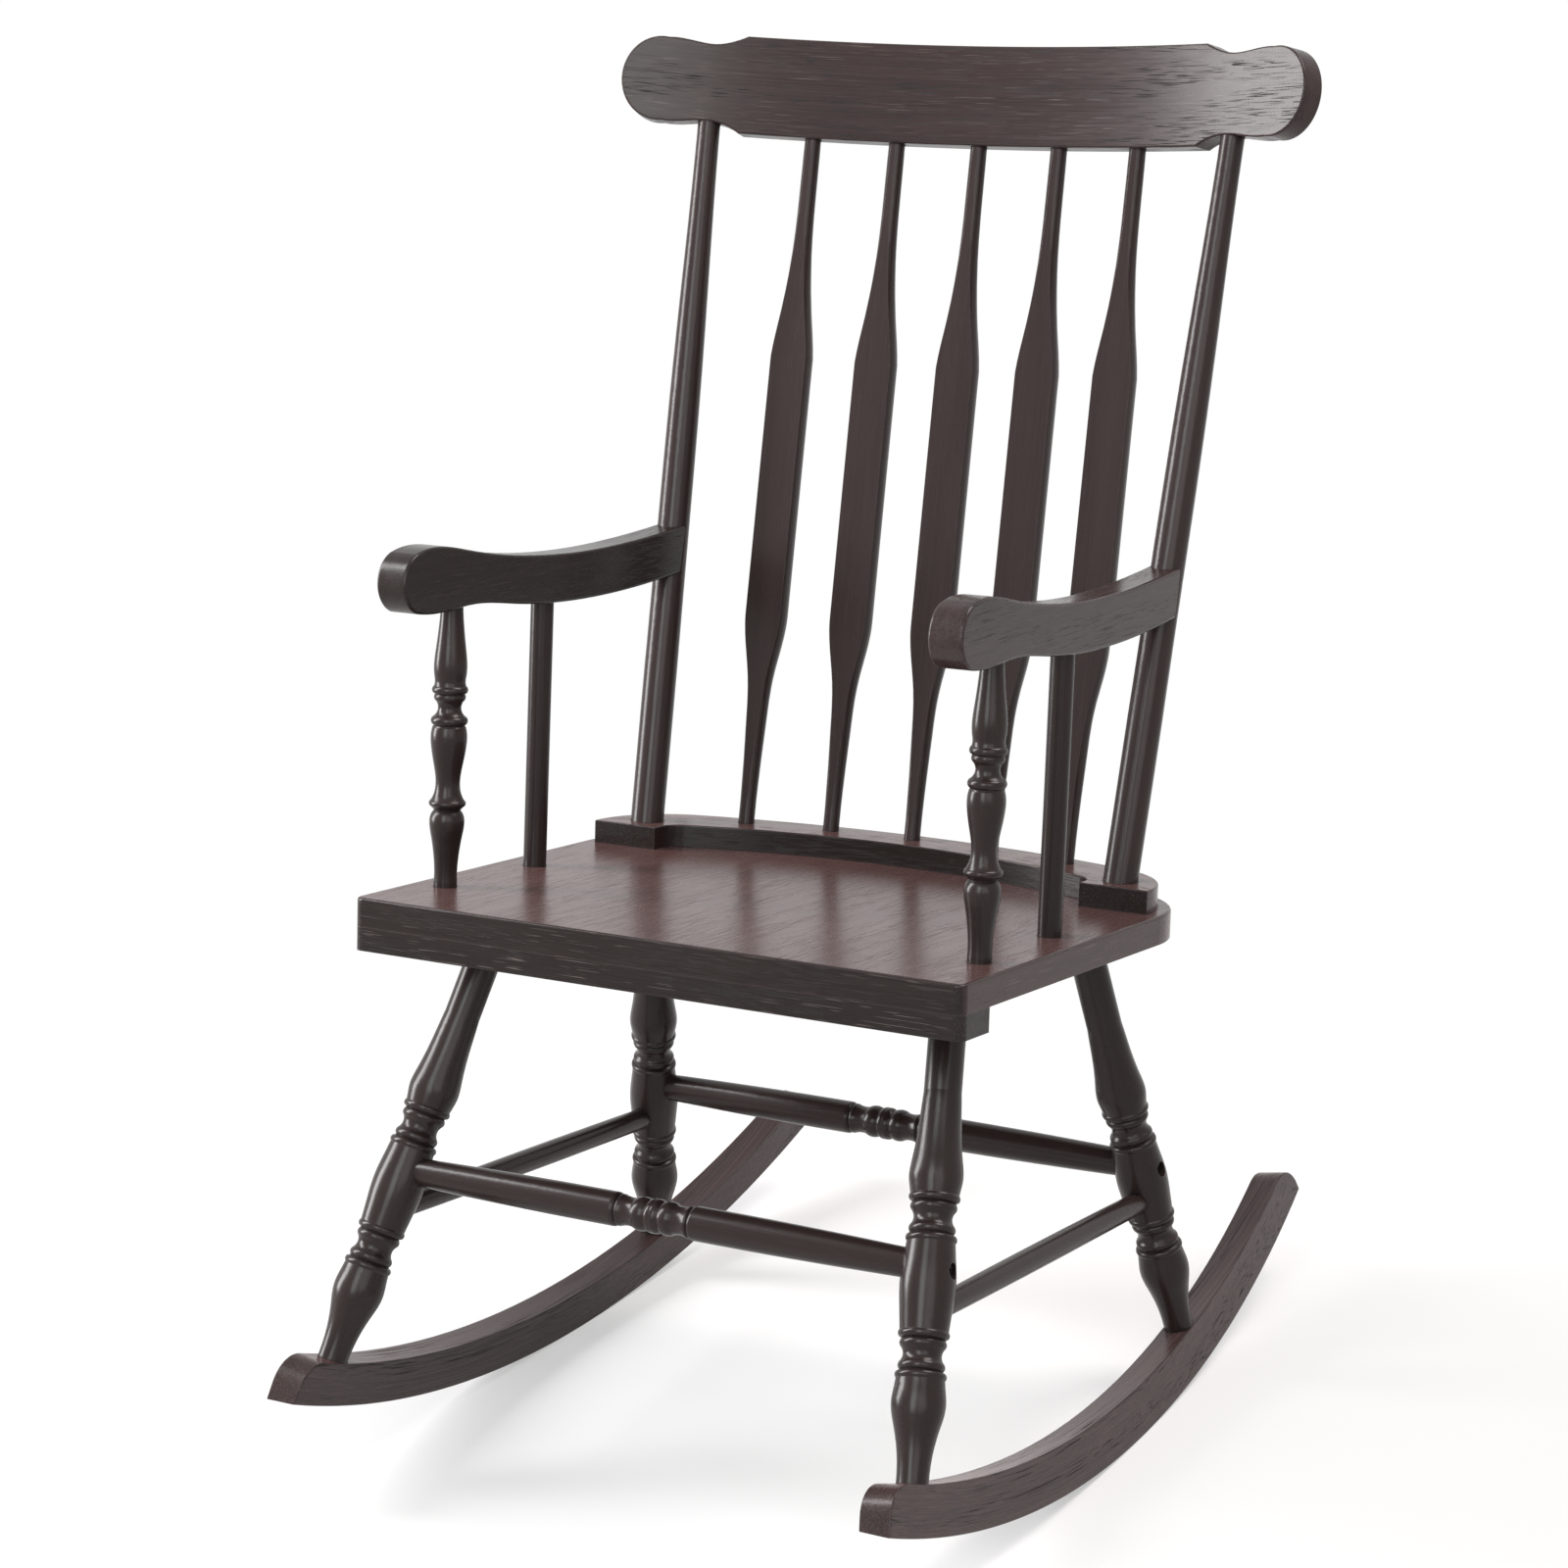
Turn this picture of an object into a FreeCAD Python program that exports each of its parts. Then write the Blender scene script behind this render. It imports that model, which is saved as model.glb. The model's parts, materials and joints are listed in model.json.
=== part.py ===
"""Boston rocking chair in millimetres: a D-shaped plank seat with a raised back rail, two round back posts,
five arrow spindles under a bent crest rail, shaped arms, turned legs and stretchers, and two canted rockers.

The pieces are drawn in the seat's own frame: x to the sitter's left, y backwards from the front edge, z up
from the seat's top face. Left-hand pieces are drawn and then mirrored. At the end the whole chair is leaned
back until its weight lies over the lowest point of its rockers, and stood on z = 0.
"""
import FreeCAD, Part
import math
import os

# Seat board, and the batten under its front edge
SEAT_WIDTH = 538.0
SEAT_DEPTH = 448.0
SEAT_THICKNESS = 23.0
SEAT_BACK_RADIUS = 711.0
SEAT_REAR_CORNER = 91.0
SEAT_FRONT_CORNER = 8.0
SEAT_EDGE_ROUND = 2.5
BATTEN_DEPTH = 43.0
BATTEN_HEIGHT = 19.0

# Raised rail along the back of the seat, with a square block under each post
RAIL_THICKNESS = 19.0
RAIL_INSET = 11.0
RAIL_DEPTH = 47.0
RAIL_INNER_RADIUS = 517.0
RAIL_INNER_CORNER = 20.0
RAIL_EDGE_ROUND = 1.2
BLOCK_WIDTH = 59.5
BLOCK_AHEAD_OF_POST = 22.3

# Legs: where their axes meet the seat's underside, and how far they run sideways and back on the way down
FRONT_LEG_Y = 107.3
FRONT_LEG_RAKE = -0.413
REAR_LEG_BACK_INSET = 116.5
REAR_LEG_RAKE = 0.3045
LEG_INSET = 65.6
SIDE_TOE = 0.0102
SIDE_CANT = 0.1606
LEG_TOP_RADIUS = 14.2
LEG_BULB_RADIUS = 20.2
LEG_BARREL_RADIUS = 20.8
LEG_FOOT_RADIUS = 12.0
LEG_TENON_RADIUS = 10.0
LEG_TENON_LENGTH = 15.0
FOOT_TENON_RADIUS = 7.5
FOOT_TENON_LENGTH = 18.0

# Leg turning, drawn for a leg of this length from seat to rocker; a shorter leg squeezes it evenly
LEG_TURNING_LENGTH = 369.0
UPPER_RINGS = 177.3
LOWER_RINGS = 277.0
RING_HALF_WIDTH = 17.5
RING_LIP_RADIUS = 19.2
RING_BEAD_RADIUS = 17.5
RING_GROOVE_RADIUS = 16.0
RING_COVE_RADIUS = 14.4
RING_CHAMFER = 1.0

# Rockers: depths below the seat's top face, and how far they run on beyond the legs' feet
ROCKER_RADIUS = 941.0
ROCKER_DROP = 429.0
ROCKER_DEPTH = 37.6
ROCKER_TOP_RADIUS = 918.0
ROCKER_THICKNESS = 26.0
ROCKER_LOW_POINT_SHIFT = -5.2
ROCKER_FRONT_OVERHANG = 47.0
ROCKER_REAR_OVERHANG = 225.5
ROCKER_FRONT_ROUND = 24.0
ROCKER_REAR_ROUND = 30.0
ROCKER_EDGE_ROUND = 1.0

# Stretchers: depths of their axes below the seat's top face, and the turning of the two that cross the chair
CROSS_STRETCHER_DROP = 219.2
CROSS_STRETCHER_END_RADIUS = 10.8
CROSS_STRETCHER_MID_RADIUS = 13.4
CENTRE_BEAD_WIDTH = 12.0
CENTRE_GROOVE_X = 32.5
CENTRE_VALLEY_DEPTH = 1.8
CENTRE_GROOVE_DEPTH = 2.6
SIDE_STRETCHER_FRONT_DROP = 251.6
SIDE_STRETCHER_REAR_DROP = 247.9
SIDE_STRETCHER_RADIUS = 9.6
SIDE_STRETCHER_END_RADIUS = 8.8
STRETCHER_TENON_RADIUS = 7.0
STRETCHER_TENON_LENGTH = 13.0

# Back posts, from the seat through the rail and up into the crest
POST_INSET = 47.5
POST_BACK_INSET = 97.0
POST_SPLAY = 20.9
POST_BASE_RADIUS = 14.0
POST_TOP_RADIUS = 9.6
POST_TENON_RADIUS = 9.0
POST_SEAT_DEPTH = 12.0
POST_CREST_DEPTH = 30.0
POST_CREST_TENON_RADIUS = 6.5

# Arrow spindles: turned blanks with both faces cut flat, between rail and crest
SPINDLE_SPACING = 75.6
SPINDLE_BACKSET = 21.0
SPINDLE_END_RADIUS = 6.8
SPINDLE_PADDLE_RADIUS = 18.2
SPINDLE_LOWER_TAPER = 177.0
SPINDLE_UPPER_TAPER = 184.0
SPINDLE_THICKNESS = 13.0
SPINDLE_TENON_RADIUS = 5.5
SPINDLE_RAIL_DEPTH = 14.0
SPINDLE_CREST_DEPTH = 22.0

# Crest rail, in a frame that leans with the back; heights from that frame's origin
CREST_HEIGHT = 645.6
CREST_SETBACK = 43.1
CREST_LEAN = 9.65
CREST_RADIUS = 875.0
CREST_THICKNESS = 20.4
CREST_TOP = 28.5
CREST_BOTTOM = -54.0
CREST_NOTCH_DEPTH = 8.2
CREST_LOBE_Z = -12.0
CREST_LOBE_HALF_HEIGHT = 35.5
CREST_LOBE_REACH = 37.7
CREST_EDGE_ROUND = 1.5

# Places along the crest's bent front face, measured outwards from the posts' heads
CREST_STRAIGHT_END = -31.4
CREST_NOTCH_CENTRE = -4.5
CREST_LOBE_CENTRE = 37.8

# Arms, their turned supports and their plain spindles
ARM_HEIGHT = 216.8
ARM_THICKNESS = 28.0
ARM_REAR_SETBACK = 4.5
ARM_EDGE_ROUND = 2.5
ARM_SCREW_HEIGHT = 246.0
SUPPORT_INSET = 29.8
SUPPORT_Y = 81.8
SUPPORT_RAKE = 0.0157
SUPPORT_LIP_RADIUS = 14.7
SUPPORT_FOOT_RADIUS = 9.3
SUPPORT_HEAD_RADIUS = 8.9
SUPPORT_COVE_RADIUS = 9.7
SUPPORT_TURNING_LENGTH = 224.0
ARM_SPINDLE_INSET = 33.4
ARM_SPINDLE_Y = 203.8
ARM_SPINDLE_RAKE = 0.018
ARM_SPINDLE_RADIUS = 9.4
UPRIGHT_TENON_RADIUS = 6.0
UPRIGHT_TENON_LENGTH = 14.0

# Arm side view: points are (distance from the seat's front edge, height above the arm's lowest line), drawn
# for this distance from the front edge to the post
ARM_DRAWN_DEPTH = 392.8
ARM_TOP_LINE = ((21.2, 53.1), (44.0, 57.0), (92.5, 51.1), (150.0, 43.3), (235.0, 39.6), (340.0, 45.0),
                (450.0, 57.6))
ARM_UNDER_LINE = ((21.5, 6.7), (52.0, 4.7), (98.0, 7.9), (155.0, 3.5), (235.0, 0.0), (330.0, 4.7),
                  (450.0, 21.0))
ARM_NOSE = (5.4, 28.5)

# Glue gap round every tenon and past its end, and running room round every bolt and screw
GLUE_GAP = 0.1
SOCKET_END_GAP = 0.5
SCREW_GAP = 0.15

# Bolts through the legs into threaded inserts in the cross stretchers
BOLT_RADIUS = 3.0
BOLT_HEAD_RADIUS = 5.0
BOLT_HEAD_HEIGHT = 6.0
BOLT_KEY_WIDTH = 4.0
BOLT_KEY_DEPTH = 3.0
BOLT_MOUTH_RADIUS = 6.0
BOLT_MOUTH_DEPTH = 10.0
INSERT_RADIUS = 4.5
INSERT_LENGTH = 13.0

# Wood screws: one under each rocker into each leg, one through each post into its arm, four under the rail
SCREW_RADIUS = 2.2
SCREW_HEAD_RADIUS = 4.5
SCREW_HEAD_HEIGHT = 2.6
SCREW_POINT_LENGTH = 6.0
SCREW_POINT_RADIUS = 0.4
ROCKER_SCREW_RECESS = 3.0
ROCKER_SCREW_LENGTH = 55.0
ARM_SCREW_RECESS = 4.0
ARM_SCREW_LENGTH = 60.0
RAIL_SCREW_RECESS = 2.0
RAIL_SCREW_LENGTH = 34.0
RAIL_SCREW_X = (38.0, 113.0)

# Grams per cubic millimetre, for the centre of mass
WOOD_DENSITY = 0.0006
STEEL_DENSITY = 0.00785

# Where axes meet the seat, the rail and the legs
POST_X = SEAT_WIDTH / 2 - POST_INSET
POST_Y = SEAT_DEPTH - POST_BACK_INSET
POST_HEAD_X = POST_X + POST_SPLAY
SUPPORT_X = SEAT_WIDTH / 2 - SUPPORT_INSET
ARM_SPINDLE_X = SEAT_WIDTH / 2 - ARM_SPINDLE_INSET
REAR_LEG_Y = SEAT_DEPTH - REAR_LEG_BACK_INSET
LEGS = (("front", FRONT_LEG_Y, FRONT_LEG_RAKE), ("rear", REAR_LEG_Y, REAR_LEG_RAKE))

X_AXIS = FreeCAD.Vector(1, 0, 0)
Y_AXIS = FreeCAD.Vector(0, 1, 0)
Z_AXIS = FreeCAD.Vector(0, 0, 1)
ORIGIN = FreeCAD.Vector(0, 0, 0)

# Reach of cutting blocks, and how far a turned piece or tenon runs on inside what it will be cut by or joined to
FAR = 2000.0
RUN_ON = 12.0
HAIR = 0.1


# Basic shapes

def vec(x, y, z):
    return FreeCAD.Vector(x, y, z)


def curve(points):
    """A line through two points, an arc through three, or a smooth curve through more."""
    if len(points) == 2:
        return Part.LineSegment(points[0], points[1]).toShape()
    if len(points) == 3:
        return Part.Arc(points[0], points[1], points[2]).toShape()
    spline = Part.BSplineCurve()
    spline.interpolate(points)
    return spline.toShape()


def face_within(edges):
    return Part.Face(Part.Wire(Part.sortEdges(edges)[0]))


def round_edges(solid, radius, wanted):
    edges = [edge for edge in solid.Edges if wanted(edge)]
    return solid.makeFillet(radius, edges)


def is_upright(edge):
    return edge.Length > 1.0 and edge.BoundBox.ZLength > 0.99 * edge.Length


def frame_along(start, direction):
    """Placement whose z axis runs from start along direction."""
    return FreeCAD.Placement(start, FreeCAD.Rotation(Z_AXIS, direction))


def turned(strokes, start, direction):
    """Solid of revolution about the line from start along direction, from strokes of (distance, radius)."""
    first, last = strokes[0][0], strokes[-1][-1]
    edges = [curve([vec(0, 0, first[0]), vec(first[1], 0, first[0])])]
    edges += [curve([vec(radius, 0, along) for along, radius in stroke]) for stroke in strokes]
    edges.append(curve([vec(last[1], 0, last[0]), vec(0, 0, last[0])]))
    edges.append(curve([vec(0, 0, last[0]), vec(0, 0, first[0])]))
    solid = Part.Face(Part.Wire(edges)).revolve(ORIGIN, Z_AXIS, 360)
    solid.Placement = frame_along(start, direction)
    return solid


def stretched(strokes, factor):
    return [[(along * factor, radius) for along, radius in stroke] for stroke in strokes]


def rod(radius, start, direction, low, high):
    """Cylinder about the line from start along direction, between two distances from start."""
    unit = FreeCAD.Vector(direction).normalize()
    return Part.makeCylinder(radius, high - low, start + unit * low, unit)


def half_space_below(height):
    return Part.makeBox(FAR, FAR, FAR, vec(-FAR / 2, -FAR / 2, height - FAR))


def distances_along(start, direction, solid):
    """Distances from start at which the line along direction enters and leaves a solid."""
    line = Part.LineSegment(start, start + direction * FAR).toShape()
    return sorted((vertex.Point - start).Length for vertex in line.common(solid).Vertexes)


def mirrored(solid):
    return solid.mirror(ORIGIN, X_AXIS)


def with_mirror(solids):
    return solids + [mirrored(solid) for solid in solids]


def back_arc(x, back, radius):
    """How far back an arc through (0, back), bulging backwards, lies at x."""
    return back - radius + math.sqrt(radius ** 2 - x ** 2)


class Chair:
    """Pieces on the middle line, left-hand pieces, left-hand fasteners, and the holes cut in each piece."""

    def __init__(self):
        self.centre = {}
        self.left = {}
        self.steel = {}
        self.holes = {}

    def drill(self, name, *tools):
        self.holes.setdefault(name, []).extend(tools)

    def add_steel(self, group, solid):
        self.steel.setdefault(group, []).append(solid)

    def finished(self):
        """Every piece by name, drilled and mirrored; pieces on the middle line are drilled on both sides."""
        parts = {}
        for name, solid in self.centre.items():
            tools = with_mirror(self.holes.get(name, []))
            parts[name] = solid.cut(tools) if tools else solid
        for name, solid in self.left.items():
            tools = self.holes.get(name, [])
            parts[name + "_left"] = solid.cut(tools) if tools else solid
            parts[name + "_right"] = mirrored(parts[name + "_left"])
        for name, solids in self.steel.items():
            parts[name] = Part.makeCompound(with_mirror(solids))
        return parts


# Screws and bolts

def screw(start, direction, recess, length):
    """Wood screw with a flat head sunk by recess below start, and the hole that it runs in."""
    unit = FreeCAD.Vector(direction).normalize()
    point = length - SCREW_POINT_LENGTH
    head = rod(SCREW_HEAD_RADIUS, start, unit, recess, recess + SCREW_HEAD_HEIGHT)
    shank = rod(SCREW_RADIUS, start, unit, recess, point)
    tip = Part.makeCone(SCREW_RADIUS, SCREW_POINT_RADIUS, SCREW_POINT_LENGTH, start + unit * point, unit)
    hole = rod(SCREW_RADIUS + SCREW_GAP, start, unit, 0, length + SOCKET_END_GAP)
    mouth_end = recess + SCREW_HEAD_HEIGHT + SCREW_GAP
    mouth = rod(SCREW_HEAD_RADIUS + SCREW_GAP, start, unit, -RUN_ON, mouth_end)
    return head.fuse([shank, tip]).removeSplitter(), hole.fuse(mouth)


def hexagon(width, centre, direction, depth):
    radius = width / math.sqrt(3)
    corners = [vec(radius * math.cos(math.radians(60 * i)), radius * math.sin(math.radians(60 * i)), 0)
               for i in range(7)]
    prism = Part.Face(Part.makePolygon(corners)).extrude(Z_AXIS * depth)
    prism.Placement = frame_along(centre, direction)
    return prism


def bolt_and_insert(end):
    """Bolt from the leg's outer side into the stretcher, its insert, and the holes in leg and stretcher."""
    inwards = X_AXIS * -1
    head_seat = end + X_AXIS * (LEG_BARREL_RADIUS - BOLT_MOUTH_DEPTH)
    insert_start = end + inwards * (LEG_BARREL_RADIUS - STRETCHER_TENON_LENGTH)
    reach = (head_seat - insert_start).Length + INSERT_LENGTH
    key_start = head_seat + X_AXIS * (BOLT_HEAD_HEIGHT - BOLT_KEY_DEPTH)
    head = rod(BOLT_HEAD_RADIUS, head_seat, X_AXIS, 0, BOLT_HEAD_HEIGHT)
    head = head.cut(hexagon(BOLT_KEY_WIDTH, key_start, X_AXIS, BOLT_HEAD_HEIGHT))
    bolt = head.fuse(rod(BOLT_RADIUS, head_seat, inwards, 0, reach)).removeSplitter()
    hole = rod(BOLT_RADIUS + SCREW_GAP, head_seat, inwards, 0, reach + SOCKET_END_GAP)
    insert = rod(INSERT_RADIUS, insert_start, inwards, 0, INSERT_LENGTH).cut(hole)
    mouth = rod(BOLT_MOUTH_RADIUS, head_seat, X_AXIS, 0, BOLT_MOUTH_DEPTH + RUN_ON)
    pocket = rod(INSERT_RADIUS + GLUE_GAP, insert_start, inwards, -RUN_ON, INSERT_LENGTH + GLUE_GAP)
    return bolt, insert, hole.fuse(mouth), hole.fuse(pocket)


# Seat, batten and back rail

def d_prism(half_width, front, back, radius, corner, low, high):
    """Upright prism with straight sides, a square front and a bowed back with rounded corners."""
    side_end = back_arc(half_width, back, radius)
    corners = [vec(-half_width, side_end, low), vec(-half_width, front, low),
               vec(half_width, front, low), vec(half_width, side_end, low)]
    edges = [curve(corners[i:i + 2]) for i in range(3)]
    edges.append(curve([corners[3], vec(0, back, low), corners[0]]))
    prism = face_within(edges).extrude(Z_AXIS * (high - low))
    return round_edges(prism, corner, lambda e: is_upright(e) and e.CenterOfMass.y > side_end - HAIR)


def seat_board():
    board = d_prism(SEAT_WIDTH / 2, 0, SEAT_DEPTH, SEAT_BACK_RADIUS, SEAT_REAR_CORNER, -SEAT_THICKNESS, 0)
    board = round_edges(board, SEAT_FRONT_CORNER, lambda e: is_upright(e) and e.CenterOfMass.y < HAIR)
    return round_edges(board, SEAT_EDGE_ROUND, lambda e: e.BoundBox.ZMin > -HAIR)


def front_batten():
    corner = vec(-SEAT_WIDTH / 2, 0, -SEAT_THICKNESS - BATTEN_HEIGHT)
    batten = Part.makeBox(SEAT_WIDTH, BATTEN_DEPTH, BATTEN_HEIGHT, corner)
    return round_edges(batten, SEAT_FRONT_CORNER, lambda e: is_upright(e) and e.CenterOfMass.y < HAIR)


RAIL_HALF = SEAT_WIDTH / 2 - RAIL_INSET
RAIL_BACK = SEAT_DEPTH - RAIL_INSET
RAIL_BACK_RADIUS = SEAT_BACK_RADIUS - RAIL_INSET


def back_rail():
    rail = d_prism(RAIL_HALF, 0, RAIL_BACK, RAIL_BACK_RADIUS, SEAT_REAR_CORNER - RAIL_INSET, 0, RAIL_THICKNESS)
    opening = d_prism(RAIL_HALF - BLOCK_WIDTH, -HAIR, RAIL_BACK - RAIL_DEPTH, RAIL_INNER_RADIUS,
                      RAIL_INNER_CORNER, -HAIR, RAIL_THICKNESS + HAIR)
    ahead = Part.makeBox(FAR, FAR, FAR, vec(-FAR / 2, POST_Y - BLOCK_AHEAD_OF_POST - FAR, -FAR / 2))
    rail = rail.cut([opening, ahead])
    return round_edges(rail, RAIL_EDGE_ROUND, lambda e: e.BoundBox.ZMin > RAIL_THICKNESS - HAIR)


def add_seat(chair):
    chair.centre["seat"] = seat_board()
    chair.centre["seat_front_batten"] = front_batten()
    chair.centre["back_rail"] = back_rail()
    for x in RAIL_SCREW_X:
        inner = back_arc(x, RAIL_BACK - RAIL_DEPTH, RAIL_INNER_RADIUS)
        y = (back_arc(x, RAIL_BACK, RAIL_BACK_RADIUS) + inner) / 2
        solid, hole = screw(vec(x, y, -SEAT_THICKNESS), Z_AXIS, RAIL_SCREW_RECESS, RAIL_SCREW_LENGTH)
        chair.add_steel("rail_screws", solid)
        chair.drill("seat", hole)
        chair.drill("back_rail", hole)


# The plane of each side, which holds its legs, side stretcher and rocker

def side_point(y, z):
    x = SEAT_WIDTH / 2 - LEG_INSET - SIDE_TOE * (y - FRONT_LEG_Y) - SIDE_CANT * (z + SEAT_THICKNESS)
    return vec(x, y, z)


def leg_point(top_y, rake, z):
    return side_point(top_y - rake * (z + SEAT_THICKNESS), z)


SIDE_NORMAL = vec(1, SIDE_TOE, SIDE_CANT).normalize()
SIDE_UP = (Z_AXIS - SIDE_NORMAL * SIDE_NORMAL.z).normalize()
SIDE_BACK = SIDE_UP.cross(SIDE_NORMAL)

FOOT_YS = [leg_point(top_y, rake, ROCKER_DEPTH - ROCKER_DROP).y for name, top_y, rake in LEGS]
ROCKER_LOW_Y = sum(FOOT_YS) / 2 + ROCKER_LOW_POINT_SHIFT


# Rockers

def rocker_blank():
    """Left rocker before its sockets: a board in the side plane, its sole cut level across for the floor."""
    centre_v = (ROCKER_DEPTH * SIDE_UP.z - ROCKER_DROP) / SIDE_UP.z + ROCKER_TOP_RADIUS

    def at(reach, radius):
        angle = math.asin(reach / ROCKER_RADIUS)
        u = ROCKER_LOW_Y + radius * math.sin(angle)
        v = centre_v - radius * math.cos(angle)
        return side_point(0, 0) + SIDE_BACK * u + SIDE_UP * v

    front = FOOT_YS[0] - ROCKER_FRONT_OVERHANG - ROCKER_LOW_Y
    rear = FOOT_YS[1] + ROCKER_REAR_OVERHANG - ROCKER_LOW_Y
    middle = (front + rear) / 2
    inner, outer = ROCKER_TOP_RADIUS, ROCKER_RADIUS + 2 * ROCKER_DEPTH
    face = face_within([
        curve([at(front, inner), at(middle, inner), at(rear, inner)]),
        curve([at(rear, inner), at(rear, outer)]),
        curve([at(rear, outer), at(middle, outer), at(front, outer)]),
        curve([at(front, outer), at(front, inner)]),
    ])
    face.translate(SIDE_NORMAL * (-ROCKER_THICKNESS / 2))
    board = face.extrude(SIDE_NORMAL * ROCKER_THICKNESS)
    for reach, radius in ((front, ROCKER_FRONT_ROUND), (rear, ROCKER_REAR_ROUND)):
        corner = at(reach, inner)
        board = round_edges(board, radius, lambda e: e.CenterOfMass.distanceToPoint(corner) < 1.0)
    sole_axis = vec(0, ROCKER_LOW_Y, ROCKER_RADIUS - ROCKER_DROP)
    board = board.common(Part.makeCylinder(ROCKER_RADIUS, FAR, sole_axis, X_AXIS))
    return round_edges(board, ROCKER_EDGE_ROUND, lambda e: e.Length > 0.5 * (rear - front))


# Legs

def ring_group(centre):
    """Strokes of one ring group: lip, groove, bead, cove, bead, groove, lip."""
    half = RING_HALF_WIDTH
    shoulder = RING_LIP_RADIUS - RING_CHAMFER
    neck = RING_BEAD_RADIUS - RING_CHAMFER

    def at(share, radius):
        return (centre + share * half, radius)

    return [
        [at(-1, shoulder), at(-0.86, RING_LIP_RADIUS), at(-0.72, shoulder)],
        [at(-0.72, shoulder), at(-0.65, RING_GROOVE_RADIUS)],
        [at(-0.65, RING_GROOVE_RADIUS), at(-0.48, RING_BEAD_RADIUS), at(-0.31, neck)],
        [at(-0.31, neck), at(0, RING_COVE_RADIUS), at(0.31, neck)],
        [at(0.31, neck), at(0.48, RING_BEAD_RADIUS), at(0.65, RING_GROOVE_RADIUS)],
        [at(0.65, RING_GROOVE_RADIUS), at(0.72, shoulder)],
        [at(0.72, shoulder), at(0.86, RING_LIP_RADIUS), at(1, shoulder)],
    ]


def leg_turning():
    """Strokes of a leg from the seat's underside down, running on a little at both ends."""
    top, bulb, barrel, foot = LEG_TOP_RADIUS, LEG_BULB_RADIUS, LEG_BARREL_RADIUS, LEG_FOOT_RADIUS
    shoulder = RING_LIP_RADIUS - RING_CHAMFER
    upper_start, upper_end = UPPER_RINGS - RING_HALF_WIDTH, UPPER_RINGS + RING_HALF_WIDTH
    lower_start, lower_end = LOWER_RINGS - RING_HALF_WIDTH, LOWER_RINGS + RING_HALF_WIDTH
    middle = (UPPER_RINGS + LOWER_RINGS) / 2
    length = LEG_TURNING_LENGTH
    strokes = [[(-RUN_ON, top), (upper_start - 75.8, top)]]
    strokes.append([
        (upper_start - 75.8, top), (upper_start - 59.3, 1.08 * top), (upper_start - 42.8, 0.82 * bulb),
        (upper_start - 27.8, 0.915 * bulb), (upper_start - 18.8, 0.983 * bulb), (upper_start - 12.8, bulb),
        (upper_start - 5.8, 0.955 * bulb), (upper_start, shoulder),
    ])
    strokes += ring_group(UPPER_RINGS)
    strokes.append([
        (upper_end, shoulder), (upper_end + 11, 0.93 * barrel), (middle - 3, barrel),
        (lower_start - 16, 0.945 * barrel), (lower_start, shoulder),
    ])
    strokes += ring_group(LOWER_RINGS)
    strokes.append([
        (lower_end, shoulder), (lower_end + 9.5, 0.965 * bulb), (lower_end + 17.5, bulb),
        (lower_end + 24.5, 0.965 * bulb), (lower_end + 35.5, 0.83 * bulb), (length - 26, 1.16 * foot),
        (length - 13, 1.03 * foot), (length, foot),
    ])
    strokes.append([(length, foot), (length + RUN_ON, foot)])
    return strokes


def add_legs_and_rocker(chair):
    rocker = rocker_blank()
    chair.left["rocker"] = rocker
    for name, top_y, rake in LEGS:
        top = leg_point(top_y, rake, -SEAT_THICKNESS)
        direction = (leg_point(top_y, rake, -FAR) - top).normalize()
        length, sole = distances_along(top, direction, rocker)
        body = turned(stretched(leg_turning(), length / LEG_TURNING_LENGTH), top, direction)
        body = body.common(half_space_below(-SEAT_THICKNESS)).cut(rocker)
        head_end = -LEG_TENON_LENGTH
        foot_end = length + FOOT_TENON_LENGTH
        head_tenon = rod(LEG_TENON_RADIUS, top, direction, head_end, RUN_ON)
        foot_tenon = rod(FOOT_TENON_RADIUS, top, direction, length - RUN_ON, foot_end)
        head_socket = rod(LEG_TENON_RADIUS + GLUE_GAP, top, direction, head_end - SOCKET_END_GAP, RUN_ON)
        foot_socket = rod(FOOT_TENON_RADIUS + GLUE_GAP, top, direction, length - RUN_ON,
                          foot_end + SOCKET_END_GAP)
        chair.left["leg_" + name] = body.fuse([head_tenon, foot_tenon]).removeSplitter()
        chair.drill("seat", head_socket)
        chair.drill("rocker", foot_socket)
        solid, hole = screw(top + direction * sole, direction * -1, ROCKER_SCREW_RECESS, ROCKER_SCREW_LENGTH)
        chair.add_steel("rocker_screws", solid)
        chair.drill("rocker", hole)
        chair.drill("leg_" + name, hole)


# Stretchers

def cross_stretcher_turning(half):
    """Strokes of half a cross stretcher, from the middle of its centre bead out to half."""
    mid, end = CROSS_STRETCHER_MID_RADIUS, CROSS_STRETCHER_END_RADIUS
    bead, groove = CENTRE_BEAD_WIDTH, CENTRE_GROOVE_X
    valley = mid - CENTRE_VALLEY_DEPTH
    saddle = (1.5 * bead + groove) / 2
    return [
        [(0.0, mid), (0.35 * bead, mid - 0.5), (0.5 * bead, valley)],
        [(0.5 * bead, valley), (bead, mid), (1.5 * bead, valley)],
        [(1.5 * bead, valley), (saddle, valley - 0.4), (groove - 2.2, mid - 0.9)],
        [(groove - 2.2, mid - 0.9), (groove - 1.0, mid - 1.2), (groove, mid - CENTRE_GROOVE_DEPTH)],
        [(groove, mid - CENTRE_GROOVE_DEPTH), (groove + 1.2, mid - 0.9), (groove + 4.0, mid)],
        [(groove + 4.0, mid), (0.45 * half, 0.985 * mid), (0.62 * half, 0.5 * (mid + end) + 0.6),
         (half, end)],
    ]


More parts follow.
